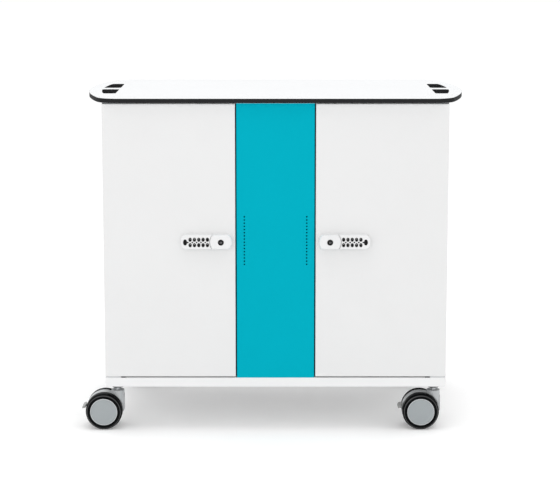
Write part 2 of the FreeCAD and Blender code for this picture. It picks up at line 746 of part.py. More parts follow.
def brake_pedal():
    pivot = pedal_pivot()
    half = PEDAL_ARM_THICKNESS / 2
    inner_x = -CASTOR_TRAIL - WHEEL_RADIUS - PEDAL_GAP
    outer_x = inner_x - PEDAL_LENGTH
    boss = PEDAL_BOSS_RADIUS
    profile = [
        vec(pivot.x + boss, -half, pivot.z - boss / 2),
        vec(pivot.x + boss, -half, pivot.z + boss / 2),
        vec(pivot.x, -half, pivot.z + boss),
        vec(inner_x, -half, pivot.z),
        vec(inner_x, -half, pivot.z - PEDAL_THICKNESS),
        vec(pivot.x, -half, pivot.z - boss),
    ]
    arm = prism(profile + profile[:1], Y_AXIS * PEDAL_ARM_THICKNESS)
    bore = rod(PEDAL_PIN_RADIUS + AXLE_CLEARANCE, vec(pivot.x, -half, pivot.z), Y_AXIS, PEDAL_ARM_THICKNESS)
    wide = PEDAL_WIDTH / 2
    tread = [
        vec(inner_x, -wide, pivot.z),
        vec(outer_x + PEDAL_LENGTH / 3, -wide, pivot.z - PEDAL_DROP / 3),
        vec(outer_x, -wide, pivot.z - PEDAL_DROP),
        vec(outer_x, -wide, pivot.z - PEDAL_DROP - PEDAL_THICKNESS / 2),
        vec(inner_x, -wide, pivot.z - PEDAL_THICKNESS),
    ]
    pad = prism(tread + tread[:1], Y_AXIS * PEDAL_WIDTH)
    corners = []
    for edge in edges_along(pad, Z_AXIS):
        if edge.BoundBox.XMax < inner_x:
            corners.append(edge)
    pad = pad.makeChamfer(PEDAL_LENGTH / 4, corners)
    return arm.fuse(pad).cut(bore).removeSplitter()


def wheel_disc(radius, start, depth):
    reach = radius / math.cos(math.pi / WHEEL_SIDES)
    return prism(ring_points(start, X_AXIS * reach, Z_AXIS * reach, WHEEL_SIDES), depth)


def wheel_centres():
    solids = []
    for way in (-1, 1):
        start = vec(-CASTOR_TRAIL, way * WHEEL_INNER_Y, AXLE_Z)
        solids.append(wheel_disc(WHEEL_CENTRE_RADIUS, start, Y_AXIS * way * WHEEL_WIDTH))
    start = vec(-CASTOR_TRAIL, -WHEEL_INNER_Y, AXLE_Z)
    solids.append(rod(AXLE_RADIUS, start, Y_AXIS, 2 * WHEEL_INNER_Y))
    return solids


def tyres():
    solids = []
    for way in (-1, 1):
        start = vec(-CASTOR_TRAIL, way * WHEEL_INNER_Y, AXLE_Z)
        depth = Y_AXIS * way * WHEEL_WIDTH
        tread = wheel_disc(WHEEL_RADIUS, start, depth)
        tread = tread.makeChamfer(TYRE_SHOULDER, edges_on_plane(tread, Y_AXIS, way * WHEEL_OUTER_Y))
        solids.append(tread.cut(wheel_disc(WHEEL_CENTRE_RADIUS, start, depth)))
    return solids


def castor_places():
    x = HALF_WIDTH - CASTOR_INSET_X
    front = FRONT_Y + CASTOR_FRONT_INSET
    back = BACK_Y - CASTOR_BACK_INSET
    return (
        ("front_left", -x, front, 1, True),
        ("front_right", x, front, 1, True),
        ("rear_left", -x, back, -1, False),
        ("rear_right", x, back, 1, False),
    )


# Write every piece

os.makedirs("parts", exist_ok=True)
save("worktop", [worktop()])
save("base_panel", [base_panel()])
save("back_panel", [back_panel()])
save("centre_panel", [centre_panel()])
save("power_inlet", [power_inlet()])

both_side_panels = []
both_partitions = []
both_rests = []
both_shelves = []
all_hinge_plates = []
both_strips = []
for side, sign in SIDES:
    both_side_panels.append(on_side(side_panel(), sign))
    both_partitions.append(on_side(partition(), sign))
    both_rests.append(on_side(door_rest(), sign))
    both_strips.append(on_side(socket_strip(), sign))
    for level_index in range(1, SLOTS_PER_BAY):
        both_shelves.append(on_side(shelf(level_index), sign))
    for plate in both_ends(hinge_plate()):
        all_hinge_plates.append(on_side(plate, sign))
    save(side + "_door", [on_side(door(), sign)])
    save(side + "_hinge_leaves", [on_side(leaf, sign) for leaf in both_ends(hinge_leaf())])
    save(side + "_keypad_housing", [on_side(keypad_housing(), sign)])
    save(side + "_lock_handle", [on_side(lock_handle(), sign)])
    save(side + "_key_plug", [on_side(key_plug(), sign)])
    save(side + "_lock_cam", [on_side(piece, sign) for piece in lock_cam()])
    for place in key_places():
        save(side + "_key_" + place[0], [on_side(key_cap(place), sign)])
save("side_panels", both_side_panels)
save("partitions", both_partitions)
save("door_rests", both_rests)
save("shelves", both_shelves)
save("hinge_plates", all_hinge_plates)
save("charging_unit", [charging_unit()] + both_strips)

all_mounts = []
for name, x, y, way, braked in castor_places():
    all_mounts.extend(shifted(piece, x, y, 0) for piece in castor_mount())
    save(name + "_castor_hood", [shifted(on_side(hood(braked), way), x, y, 0)])
    save(name + "_wheel_centres", [shifted(on_side(piece, way), x, y, 0) for piece in wheel_centres()])
    save(name + "_tyres", [shifted(on_side(piece, way), x, y, 0) for piece in tyres()])
    if braked:
        save(name + "_brake_pedal", [shifted(brake_pedal(), x, y, 0)])
save("castor_mounts", all_mounts)
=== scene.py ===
import math

import bmesh
import bpy
from mathutils import Matrix, Vector


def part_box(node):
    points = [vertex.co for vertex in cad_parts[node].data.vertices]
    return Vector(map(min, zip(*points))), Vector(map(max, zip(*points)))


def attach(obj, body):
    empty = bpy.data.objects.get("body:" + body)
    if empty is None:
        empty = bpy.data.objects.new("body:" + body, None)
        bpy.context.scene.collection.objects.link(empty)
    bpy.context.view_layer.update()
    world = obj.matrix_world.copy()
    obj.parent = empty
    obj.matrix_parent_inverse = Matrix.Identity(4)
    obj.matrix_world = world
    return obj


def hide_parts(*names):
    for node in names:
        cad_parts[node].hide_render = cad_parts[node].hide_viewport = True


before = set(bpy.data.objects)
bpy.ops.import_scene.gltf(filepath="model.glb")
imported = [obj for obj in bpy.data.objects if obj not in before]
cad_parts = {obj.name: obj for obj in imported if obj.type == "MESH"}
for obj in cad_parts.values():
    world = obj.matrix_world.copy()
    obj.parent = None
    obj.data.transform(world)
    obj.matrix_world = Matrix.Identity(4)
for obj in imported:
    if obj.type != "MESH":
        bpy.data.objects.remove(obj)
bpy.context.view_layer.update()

SIDES = ("left", "right")
CASTORS = ("front_left", "front_right", "rear_left", "rear_right")
NUMBER_KEYS = "1357924680"
MM = 0.001

# Edge rounds: width in metres, segments, and the least angle between faces in degrees
TOP_ROUND = (0.9 * MM, 3, 40.0)
BOARD_ROUND = (0.5 * MM, 1, 40.0)
PLATE_ROUND = (0.2 * MM, 1, 40.0)
HOUSING_ROUND = (0.4 * MM, 2, 30.0)
HANDLE_ROUND = (0.7 * MM, 2, 30.0)
HOOD_ROUND = (0.9 * MM, 3, 35.0)
PEDAL_ROUND = (1.8 * MM, 3, 30.0)
MOUNT_ROUND = (0.4 * MM, 1, 40.0)
INLET_ROUND = (0.7 * MM, 2, 40.0)
WELD_DISTANCE = 0.01 * MM
FLAT_ANGLE = 0.5

# Limits of a face's normal: the worktop's core lies between the first two
CORE_LOWEST = -0.2
CORE_HIGHEST = 0.999
FRONT_FACING = -0.9

# Keypad locks, in metres
SKIN = 0.08 * MM
KEY_STEPS = 28
KEY_PLAY = 0.2 * MM
KEY_DOME = 0.9 * MM
KEY_SIDE_BEVEL = 0.8 * MM
DIGIT_SIZE = 7.56 * MM
DIGIT_PROUD = 0.06 * MM
DIGIT_SINK = 0.27 * MM
PIP_STEPS = 20
PIP_RADIUS = 2.2 * MM
PIP_TOP_RADIUS = 1.32 * MM
PIP_PROUD = 0.15 * MM
PIP_SIDE_PROUD = 0.075 * MM
CORE_STEPS = 18
CORE_RADIUS = 2.8 * MM
CORE_GAP = 0.8 * MM
CORE_PROUD = 0.25 * MM

# Points of a key: share of its half size, with a share of the side bevel or of the dome
KEY_SIDE = ((1.0, 1.0), (0.95, 0.4), (0.84, 0.0))
KEY_TOP = ((0.6, 0.35), (0.3, 0.08), (0.05, 0.0))

# Keys on both sides of each pip
PIP_PAIRS = (("1", "3"), ("3", "5"), ("5", "7"), ("7", "9"), ("9", "clear"))

# Castors, in metres
WHEEL_STEPS = 96
WHEEL_INNER = 12.7 * MM
TYRE_STEP = 4.6 * MM
TYRE_CROWN = 12.0 * MM
TYRE_CROWN_STEPS = 8
TYRE_LIP = 1.1 * MM
TYRE_INNER_EDGE = 1.5 * MM
DISC_DISH = 1.6 * MM
DISC_EDGE = 0.8 * MM
DISC_BEAD = 1.6 * MM
DISC_BEAD_FOOT = 2.56 * MM
DISC_BEAD_BACK = 0.2 * MM
AXLE_STEPS = 32
AXLE_RADIUS = 4.0 * MM
BEARING_HALF = 16.5 * MM
BEARING_DEPTH = 12.0 * MM
PLATE_DEPTH = 3.2 * MM

# Points of a disc's face: share of its radius, and rise
DISC_CROWN = ((0.7, 0.35 * MM), (0.4, 0.7 * MM), (0.1, 0.8 * MM))

# Power fittings, in metres
SOCKET_COUNT = 10
STRIP_HALF_WIDTH = 25.0 * MM
STRIP_DEPTH = 40.0 * MM
SOCKET_RECESS = 3.0 * MM
SOCKET_PLATE = 29.0 * MM
SOCKET_PLATE_DEPTH = 2.6 * MM
SOCKET_FACE = 24.0 * MM
SOCKET_FACE_DEPTH = 0.48 * MM
PIN_SLOT_LONG = 6.5 * MM
PIN_SLOT_WIDE = 2.6 * MM
PIN_SLOT_SPREAD = 6.0 * MM
PIN_SLOT_DROP = 4.0 * MM
PIN_HALF_THICK = 1.2 * MM
PIN_HALF_TALL = 3.2 * MM
PIN_PITCH = 8.0 * MM
PIN_ROOM = 4.0 * MM

# Camera, in metres, degrees and millimetres of lens
CAMERA_DISTANCE = 4.5
CAMERA_RISE = 0.4466
CAMERA_PITCH = 8.4
LENS = 110.33
SENSOR = 36.0
SHIFT_X = 0.0080
SHIFT_Y = -0.10504

# Floor, world and lamps
WORLD_STRENGTH = 0.96
FLOOR_GLOW = 0.15
FLOOR_ALBEDO = 0.9
FLOOR_ROUGHNESS = 0.9
FLOOR_SIZE = 60.0
KEY_LAMP_PLACE = (-0.8, -4.6, 1.7)
KEY_LAMP_AIM = (0.0, 0.0, 0.4)
KEY_LAMP_SIZE = (4.5, 2.4)
KEY_LAMP_POWER = 29.0
TOP_LAMP_PLACE = (0.0, -0.6, 6.0)
TOP_LAMP_AIM = (0.0, -0.6, 0.0)
TOP_LAMP_SIZE = (5.0, 5.0)
TOP_LAMP_POWER = 80.0

# Noise in the materials
NOISE_LOW = 0.3
NOISE_HIGH = 0.7
BUMP_DETAIL = 3.0
GLOSS_DETAIL = 4.0
TINT_DETAIL = 5.0
EVEN = (1.0, 1.0, 1.0)
BRUSHED = (1.0, 40.0, 40.0)


# Material helpers

def start_material(name, colour, roughness, metallic=0.0, specular=0.5):
    made = bpy.data.materials.new(name)
    made.use_nodes = True
    shader = made.node_tree.nodes["Principled BSDF"]
    shader.inputs["Base Color"].default_value = (*colour, 1.0)
    shader.inputs["Roughness"].default_value = roughness
    shader.inputs["Metallic"].default_value = metallic
    shader.inputs["Specular IOR Level"].default_value = specular
    return made


def place_noise(made, scale, detail, stretch):
    tree = made.node_tree
    coordinates = tree.nodes.new("ShaderNodeTexCoord")
    mapping = tree.nodes.new("ShaderNodeMapping")
    mapping.inputs["Scale"].default_value = stretch
    noise = tree.nodes.new("ShaderNodeTexNoise")
    noise.inputs["Scale"].default_value = scale
    noise.inputs["Detail"].default_value = detail
    tree.links.new(coordinates.outputs["Object"], mapping.inputs["Vector"])
    tree.links.new(mapping.outputs["Vector"], noise.inputs["Vector"])
    return noise


def add_tint(made, scale, dark, stretch=EVEN):
    tree = made.node_tree
    shader = tree.nodes["Principled BSDF"]
    colour = tuple(shader.inputs["Base Color"].default_value)
    ramp = tree.nodes.new("ShaderNodeValToRGB")
    low, high = ramp.color_ramp.elements
    low.position = NOISE_LOW
    high.position = NOISE_HIGH
    low.color = (colour[0] * dark, colour[1] * dark, colour[2] * dark, 1.0)
    high.color = colour
    noise = place_noise(made, scale, TINT_DETAIL, stretch)
    tree.links.new(noise.outputs["Fac"], ramp.inputs["Fac"])
    tree.links.new(ramp.outputs["Color"], shader.inputs["Base Color"])


def add_bump(made, scale, strength, distance, stretch=EVEN):
    tree = made.node_tree
    noise = place_noise(made, scale, BUMP_DETAIL, stretch)
    bump = tree.nodes.new("ShaderNodeBump")
    bump.inputs["Strength"].default_value = strength
    bump.inputs["Distance"].default_value = distance
    tree.links.new(noise.outputs["Fac"], bump.inputs["Height"])
    tree.links.new(bump.outputs["Normal"], tree.nodes["Principled BSDF"].inputs["Normal"])


def add_gloss_change(made, scale, low, high, stretch=EVEN):
    tree = made.node_tree
    noise = place_noise(made, scale, GLOSS_DETAIL, stretch)
    spread = tree.nodes.new("ShaderNodeMapRange")
    spread.inputs["From Min"].default_value = NOISE_LOW
    spread.inputs["From Max"].default_value = NOISE_HIGH
    spread.inputs["To Min"].default_value = low
    spread.inputs["To Max"].default_value = high
    tree.links.new(noise.outputs["Fac"], spread.inputs["Value"])
    tree.links.new(spread.outputs["Result"], tree.nodes["Principled BSDF"].inputs["Roughness"])


# Kinds of material

def melamine(name, colour, specular):
    made = start_material(name, colour, roughness=0.5, specular=specular)
    add_tint(made, scale=7.0, dark=0.985)
    add_bump(made, scale=1100.0, strength=0.06, distance=0.4 * MM)
    add_gloss_change(made, scale=60.0, low=0.44, high=0.56)
    return made


def moulded(name, colour, low, high, specular=0.45):
    made = start_material(name, colour, roughness=(low + high) / 2, specular=specular)
    add_tint(made, scale=25.0, dark=0.965)
    add_bump(made, scale=2600.0, strength=0.08, distance=0.2 * MM)
    add_gloss_change(made, scale=180.0, low=low, high=high)
    return made


def plated_steel(name, colour):
    made = start_material(name, colour, roughness=0.34, metallic=1.0)
    add_tint(made, scale=60.0, dark=0.9, stretch=BRUSHED)
    add_bump(made, scale=90.0, strength=0.08, distance=0.2 * MM, stretch=BRUSHED)
    add_gloss_change(made, scale=80.0, low=0.26, high=0.42, stretch=BRUSHED)
    return made


def rubber(name, colour, low, high, specular=0.3):
    made = start_material(name, colour, roughness=(low + high) / 2, specular=specular)
    add_tint(made, scale=90.0, dark=0.75)
    add_bump(made, scale=1500.0, strength=0.12, distance=0.3 * MM)
    add_gloss_change(made, scale=240.0, low=low, high=high)
    return made


# Boards
WHITE_BOARD = melamine("white_melamine", (0.81, 0.81, 0.812), specular=0.25)
# Painted shade: the carcass white melamine made darker for the doors, to even out the extra front light
# they get
DOOR_BOARD_SHADED = melamine("door_melamine_painted_shade", (0.757, 0.757, 0.757), specular=0.25)
SHELF_BOARD = melamine("shelf_melamine", (0.78, 0.79, 0.80), specular=0.25)
TEAL_BOARD = melamine("teal_melamine", (0.0, 0.392, 0.50), specular=0.02)
TOP_FACE = melamine("compact_top_face", (0.80, 0.81, 0.82), specular=0.55)
# Painted shade: a near-black band that stands for the shade in the seams beside the doors
SEAM_SHADE_BAND = melamine("painted_seam_shade", (0.02, 0.024, 0.027), specular=0.2)
TOP_CORE = moulded("compact_core", (0.022, 0.0225, 0.0235), 0.45, 0.6, specular=0.02)

# Locks
LOCK_WHITE = moulded("lock_moulding", (0.785, 0.785, 0.79), 0.3, 0.42, specular=0.3)
KEY_BLACK = rubber("key_rubber", (0.006, 0.006, 0.0065), 0.38, 0.55, specular=0.12)
DIGIT_WHITE = moulded("digit_ink", (0.78, 0.78, 0.78), 0.5, 0.6)
PIP_BLACK = moulded("pip_black", (0.01, 0.01, 0.011), 0.2, 0.3)
PLUG_BLACK = moulded("plug_black", (0.007, 0.007, 0.0075), 0.3, 0.42, specular=0.15)

# Metal
STEEL = plated_steel("plated_steel", (0.62, 0.63, 0.64))
CORE_STEEL = plated_steel("core_steel", (0.16, 0.16, 0.165))
# Dark steel used as painted shade on the upper hinge plates and the castor bearings
SHADE_STEEL = plated_steel("steel_painted_shade", (0.10, 0.105, 0.11))
BRASS = plated_steel("pin_brass", (0.78, 0.60, 0.30))

# Castors
CASTOR_GREY = moulded("castor_nylon", (0.52, 0.54, 0.55), 0.36, 0.5)
PEDAL_GREY = moulded("pedal_nylon", (0.36, 0.365, 0.36), 0.36, 0.5)
WHEEL_GREY = moulded("wheel_nylon", (0.345, 0.373, 0.385), 0.34, 0.46)
# Painted highlight: a pale copy of the wheel nylon for the lit rim bead of each disc
BEAD_HIGHLIGHT = moulded("bead_painted_highlight", (0.68, 0.70, 0.71), 0.34, 0.46)
TYRE_BLACK = rubber("tyre_rubber", (0.005, 0.0057, 0.0063), 0.3, 0.44, specular=0.02)
TYRE_SHINE = rubber("tyre_lip", (0.012, 0.0125, 0.013), 0.1, 0.16, specular=0.75)

# Rests and power fittings
REST_BLACK = rubber("rest_rubber", (0.012, 0.012, 0.012), 0.5, 0.65)
UNIT_GREY = moulded("unit_housing", (0.05, 0.052, 0.056), 0.45, 0.6)
INLET_BLACK = moulded("inlet_moulding", (0.014, 0.014, 0.015), 0.3, 0.45)
SOCKET_WHITE = moulded("socket_moulding", (0.75, 0.755, 0.76), 0.3, 0.4)


# Forms given as points and faces

def ring_faces(rows, steps, closed_ends):
    faces = []
    for row in range(rows - 1):
        for step in range(steps):
            after = (step + 1) % steps
            faces.append((row * steps + step, row * steps + after,
                          (row + 1) * steps + after, (row + 1) * steps + step))
    if closed_ends:
        faces.append(tuple(range(steps)))
        faces.append(tuple((rows - 1) * steps + step for step in range(steps)))
    return faces


def oval_lathe(middle, wide, tall, profile, steps, closed_ends):
    points = []
    for reach, y in profile:
        for step in range(steps):
            turn = 2 * math.pi * step / steps
            x = middle.x + wide * reach * math.cos(turn)
            z = middle.z + tall * reach * math.sin(turn)
            points.append((x, y, z))
    return points, ring_faces(len(profile), steps, closed_ends)


def lathe(middle, profile, steps, closed_ends):
    return oval_lathe(middle, 1.0, 1.0, profile, steps, closed_ends)


def block(low, high):
    points = []
    for x in (low[0], high[0]):
        for y in (low[1], high[1]):
            for z in (low[2], high[2]):
                points.append((x, y, z))
    faces = [(0, 1, 3, 2), (4, 6, 7, 5), (0, 4, 5, 1), (2, 3, 7, 6), (0, 2, 6, 4), (1, 5, 7, 3)]
    return points, faces


def join_forms(forms):
    points = []
    faces = []
    for form_points, form_faces in forms:
        first = len(points)
        points.extend(form_points)
        faces.extend([tuple(first + index for index in face) for face in form_faces])
    return points, faces


# Meshes and pieces

def mesh_from(name, points, faces, smooth):
    mesh = bpy.data.meshes.new(name)
    mesh.from_pydata(points, [], faces)
    mesh.update()
    form = bmesh.new()
    form.from_mesh(mesh)
    bmesh.ops.recalc_face_normals(form, faces=form.faces)
    form.to_mesh(mesh)
    form.free()
    for face in mesh.polygons:
        face.use_smooth = smooth
    return mesh


def rounded_copy(node, width, segments, least_angle):
    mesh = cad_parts[node].data.copy()
    mesh.materials.clear()
    form = bmesh.new()
    form.from_mesh(mesh)
    bmesh.ops.remove_doubles(form, verts=form.verts, dist=WELD_DISTANCE)
    bmesh.ops.dissolve_limit(form, angle_limit=math.radians(FLAT_ANGLE), verts=form.verts, edges=form.edges)
    limit = math.radians(least_angle)
    sharp = [edge for edge in form.edges if edge.is_manifold and edge.calc_face_angle() > limit]
    bmesh.ops.bevel(form, geom=sharp, offset=width, segments=segments, profile=0.5, affect="EDGES",
                    clamp_overlap=True)
    form.to_mesh(mesh)
    form.free()
    if mesh.attributes.get("custom_normal"):
        mesh.attributes.remove(mesh.attributes["custom_normal"])
    for face in mesh.polygons:
        face.use_smooth = True
        face.material_index = 0
    return mesh


def finish_piece(name, mesh, body, materials):
    for made in materials:
        mesh.materials.append(made)
    piece = bpy.data.objects.new(name, mesh)
    bpy.context.scene.collection.objects.link(piece)
    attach(piece, body)
    return piece


def keep_flats_flat(piece):
    weighted = piece.modifiers.new("flats", "WEIGHTED_NORMAL")
    weighted.keep_sharp = True
    weighted.weight = 100


def dress_rounded(node, name, body, materials, edge_round):
    mesh = rounded_copy(node, *edge_round)
    piece = finish_piece(name, mesh, body, materials)
    keep_flats_flat(piece)
    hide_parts(node)
    return mesh


def use_second_material(mesh, chosen):
    for face in mesh.polygons:
        if chosen(face):
            face.material_index = 1


def paint(node, made):
    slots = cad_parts[node].data.materials
    slots.clear()
    slots.append(made)


# Boards and fittings that keep their CAD solids

for node in ("base_panel", "side_panels", "back_panel"):
    paint(node, WHITE_BOARD)
paint("shelves", SHELF_BOARD)
paint("centre_panel", TEAL_BOARD)
paint("charging_unit", UNIT_GREY)
paint("door_rests", REST_BLACK)
for side in SIDES:
    paint(side + "_door", DOOR_BOARD_SHADED)
    paint(side + "_hinge_leaves", STEEL)
    paint(side + "_lock_cam", STEEL)
    paint(side + "_key_plug", PLUG_BLACK)


# Worktop with white faces and a black core

def dress_worktop():
    mesh = dress_rounded("worktop", "worktop_board", "carcass",
                         [TOP_FACE, TOP_CORE], TOP_ROUND)
    use_second_material(mesh, lambda face: CORE_LOWEST <= face.normal.z <= CORE_HIGHEST)


dress_worktop()


# Partitions with a dark band painted on the front edges, behind the door seams, as painted shade for the
# shaded seams

def dress_partitions():
    mesh = dress_rounded("partitions", "partition_boards", "carcass",
                         [WHITE_BOARD, SEAM_SHADE_BAND], BOARD_ROUND)
    use_second_material(mesh, lambda face: face.normal.y < FRONT_FACING)


dress_partitions()


# Hinge plates, dark at the top and bright at the bottom: the upper plates, in the shaded gap under the
# worktop, get dark steel as painted shade

def dress_hinge_plates():
    low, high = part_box("hinge_plates")
    level = (low.z + high.z) / 2
    mesh = dress_rounded("hinge_plates", "pivot_plates", "carcass",
                         [STEEL, SHADE_STEEL], PLATE_ROUND)
    use_second_material(mesh, lambda face: face.center.z > level)


dress_hinge_plates()


# Keypad locks

def dress_housing(side):
    dress_rounded(side + "_keypad_housing", side + "_keypad_body", side + "_door",
                  [LOCK_WHITE], HOUSING_ROUND)


def dress_handle(side):
    dress_rounded(side + "_lock_handle", side + "_turn_handle", side + "_handle",
                  [LOCK_WHITE], HANDLE_ROUND)


def dress_pips(side):
    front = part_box(side + "_keypad_housing")[0].y
    low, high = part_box(side + "_key_clear")
    level = (low.z + high.z) / 2
    profile = [
        (PIP_RADIUS, front + SKIN),
        (PIP_RADIUS, front - PIP_SIDE_PROUD),
        (PIP_TOP_RADIUS, front - PIP_PROUD),
    ]
    forms = []
    for pair in PIP_PAIRS:
        boxes = [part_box(side + "_key_" + key) for key in pair]
        first, second = sorted(boxes, key=lambda corners: corners[0].x)
        x = (first[1].x + second[0].x) / 2
        forms.append(lathe(Vector((x, front, level)), profile, PIP_STEPS, True))
    mesh = mesh_from(side + "_keypad_pips", *join_forms(forms), True)
    finish_piece(side + "_keypad_pips", mesh, side + "_door", [PIP_BLACK])


def half_core(middle, sign, front):
    rim = []
    for step in range(CORE_STEPS + 1):
        turn = -math.pi / 2 + math.pi * step / CORE_STEPS
        x = middle.x + sign * (CORE_GAP + (CORE_RADIUS - CORE_GAP) * math.cos(turn))
        rim.append((x, middle.z + CORE_RADIUS * math.sin(turn)))
    points = []
    for y in (front + SKIN, front - CORE_PROUD):
        points.extend((x, y, z) for x, z in rim)
    return points, ring_faces(2, len(rim), True)


def dress_core(side):
    low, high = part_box(side + "_key_plug")
    middle = (low + high) / 2
    forms = [half_core(middle, sign, low.y) for sign in (-1, 1)]
    mesh = mesh_from(side + "_plug_core", *join_forms(forms), False)
    finish_piece(side + "_plug_core", mesh, side + "_plug", [CORE_STEEL])


def dress_key(side, key):
    low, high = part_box(side + "_key_" + key)
    wide = (high.x - low.x) / 2 - KEY_PLAY
    tall = (high.z - low.z) / 2 - KEY_PLAY
    shoulder = low.y + KEY_DOME
    profile = [(1.0, high.y)]
    profile.extend((share, shoulder + KEY_SIDE_BEVEL * back) for share, back in KEY_SIDE)
    profile.extend((share, low.y + KEY_DOME * back) for share, back in KEY_TOP)
    form = oval_lathe((low + high) / 2, wide, tall, profile, KEY_STEPS, True)
    mesh = mesh_from(side + "_cap_" + key, *form, True)
    piece = finish_piece(side + "_cap_" + key, mesh, side + "_button_" + key, [KEY_BLACK])
    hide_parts(side + "_key_" + key)


def dress_digit(side, key):
    low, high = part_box(side + "_key_" + key)
    middle = (low + high) / 2
    curve = bpy.data.curves.new(side + "_digit_" + key, "FONT")
    curve.body = key
    curve.size = DIGIT_SIZE
    curve.align_x = "CENTER"
    curve.align_y = "CENTER"
    curve.extrude = DIGIT_PROUD
    text = bpy.data.objects.new("digit_form", curve)
    bpy.context.scene.collection.objects.link(text)
    bpy.context.view_layer.update()
    mesh = bpy.data.meshes.new_from_object(text.evaluated_get(bpy.context.evaluated_depsgraph_get()))
    bpy.data.objects.remove(text)
    mesh.name = side + "_digit_" + key
    mesh.transform(Matrix.Rotation(math.pi / 2, 4, "X"))
    mesh.transform(Matrix.Translation((middle.x, low.y + DIGIT_SINK, middle.z)))
    finish_piece(side + "_digit_" + key, mesh, side + "_button_" + key, [DIGIT_WHITE])


for side in SIDES:
    dress_housing(side)
    dress_handle(side)
    dress_pips(side)
    dress_core(side)
    dress_key(side, "clear")
    for key in NUMBER_KEYS:
        dress_key(side, key)
        dress_digit(side, key)


# Castors

def tyre_profile(inner, outer, radius, bore):
    way = 1 if outer > inner else -1
    profile = [
        (bore, inner),
        (radius - TYRE_INNER_EDGE, inner),
        (radius, inner + way * TYRE_INNER_EDGE),
        (radius, outer - way * TYRE_CROWN),
    ]
    for step in range(1, TYRE_CROWN_STEPS + 1):
        turn = math.pi / 2 * step / TYRE_CROWN_STEPS
        back = TYRE_LIP + (TYRE_CROWN - TYRE_LIP) * (1 - math.sin(turn))
        profile.append((radius - TYRE_STEP * (1 - math.cos(turn)), outer - way * back))
    profile.append((radius - TYRE_STEP - TYRE_LIP, outer))
    profile.append((bore + TYRE_LIP, outer))
    profile.append((bore, outer - way * TYRE_LIP))
    profile.append((bore, inner))
    return profile


def disc_profile(inner, outer, radius):
    way = 1 if outer > inner else -1
    face = outer - way * DISC_DISH
    profile = [
        (radius, inner),
        (radius, outer - way * DISC_EDGE),
        (radius - DISC_EDGE, outer - way * DISC_BEAD_BACK),
        (radius - DISC_BEAD, outer - way * DISC_BEAD_BACK),
        (radius - DISC_BEAD_FOOT, face),
    ]
    profile.extend((radius * share, face + way * rise) for share, rise in DISC_CROWN)
    return profile


def mark_ring(mesh, middle, radius, half_width):
    def in_ring(face):
        reach = math.hypot(face.center.x - middle.x, face.center.z - middle.z)
        return abs(reach - radius) < half_width

    use_second_material(mesh, in_ring)


def dress_tyres(name, middle, spans, radius, bore):
    forms = []
    for inner, outer in spans:
        forms.append(lathe(middle, tyre_profile(inner, outer, radius, bore), WHEEL_STEPS, False))
    mesh = mesh_from(name + "_tyre_pair", *join_forms(forms), True)
    mark_ring(mesh, middle, radius - TYRE_STEP, TYRE_LIP)
    piece = finish_piece(name + "_tyre_pair", mesh, name + "_wheels",
                         [TYRE_BLACK, TYRE_SHINE])
    keep_flats_flat(piece)
    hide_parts(name + "_tyres")


def dress_discs(name, middle, spans, bore):
    forms = []
    for inner, outer in spans:
        forms.append(lathe(middle, disc_profile(inner, outer, bore - SKIN), WHEEL_STEPS, True))
    axle = [(AXLE_RADIUS, spans[0][0] + SKIN), (AXLE_RADIUS, spans[1][0] - SKIN)]
    forms.append(lathe(middle, axle, AXLE_STEPS, True))
    mesh = mesh_from(name + "_disc_pair", *join_forms(forms), True)
    # The rim bead ring gets the pale nylon as a painted highlight
    mark_ring(mesh, middle, bore - DISC_BEAD / 2, DISC_BEAD / 2)
    piece = finish_piece(name + "_disc_pair", mesh, name + "_wheels",
                         [WHEEL_GREY, BEAD_HIGHLIGHT])
    keep_flats_flat(piece)
    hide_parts(name + "_wheel_centres")


def dress_wheels(name):
    low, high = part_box(name + "_tyres")
    middle = (low + high) / 2
    spans = ((middle.y - WHEEL_INNER, low.y), (middle.y + WHEEL_INNER, high.y))
    centre_low, centre_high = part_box(name + "_wheel_centres")
    bore = (centre_high.z - centre_low.z) / 2
    dress_tyres(name, middle, spans, (high.z - low.z) / 2, bore)
    dress_discs(name, middle, spans, bore)


def dress_hood(name):
    dress_rounded(name + "_castor_hood", name + "_hood_shell", name + "_swivel",
                  [CASTOR_GREY], HOOD_ROUND)


def dress_pedal(name):
    dress_rounded(name + "_brake_pedal", name + "_pedal_tread", name + "_pedal",
                  [PEDAL_GREY], PEDAL_ROUND)


# The bearing discs under the castor plates get dark steel as painted shade, for the shadow under the plates
def dress_mounts():
    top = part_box("castor_mounts")[1].z
    hoods = [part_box(name + "_castor_hood") for name in CASTORS]

    def on_shaded_bearing(face):
        at = face.center
        if not PLATE_DEPTH < top - at.z < BEARING_DEPTH + PLATE_DEPTH:
            return False
        return any(low.x < at.x < high.x and abs(at.y - (low.y + high.y) / 2) < BEARING_HALF
                   for low, high in hoods)

    mesh = dress_rounded("castor_mounts", "castor_plates", "carcass",
                         [STEEL, SHADE_STEEL], MOUNT_ROUND)
    use_second_material(mesh, on_shaded_bearing)


dress_mounts()
for name in CASTORS:
    dress_wheels(name)
    dress_hood(name)
    if name.startswith("front"):
        dress_pedal(name)


# Power fittings

def dress_inlet():
    low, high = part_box("power_inlet")
    level = (low.z + high.z) / 2

    def on_pin(face):
        at = face.center
        beside = min(abs(at.x - step * PIN_PITCH) for step in (-1, 0, 1))
        inside = low.y + PIN_ROOM < at.y < high.y - PIN_ROOM
        return inside and beside < PIN_HALF_THICK and abs(at.z - level) < PIN_HALF_TALL

    mesh = dress_rounded("power_inlet", "inlet_shell", "carcass",
                         [INLET_BLACK, BRASS], INLET_ROUND)
    use_second_material(mesh, on_pin)


def square(x, level, size, front, back):
    half = size / 2
    return block((x - half, front, level - half), (x + half, back, level + half))


def pin_slots(x, level, face_y):
    long = PIN_SLOT_LONG / 2
    thin = PIN_SLOT_WIDE / 2
    front = face_y - SKIN
    drop = level - PIN_SLOT_DROP
    slots = [block((x - thin, front, level), (x + thin, face_y, level + 2 * long))]
    for middle in (x - PIN_SLOT_SPREAD, x + PIN_SLOT_SPREAD):
        slots.append(block((middle - long, front, drop - thin), (middle + long, face_y, drop + thin)))
    return slots


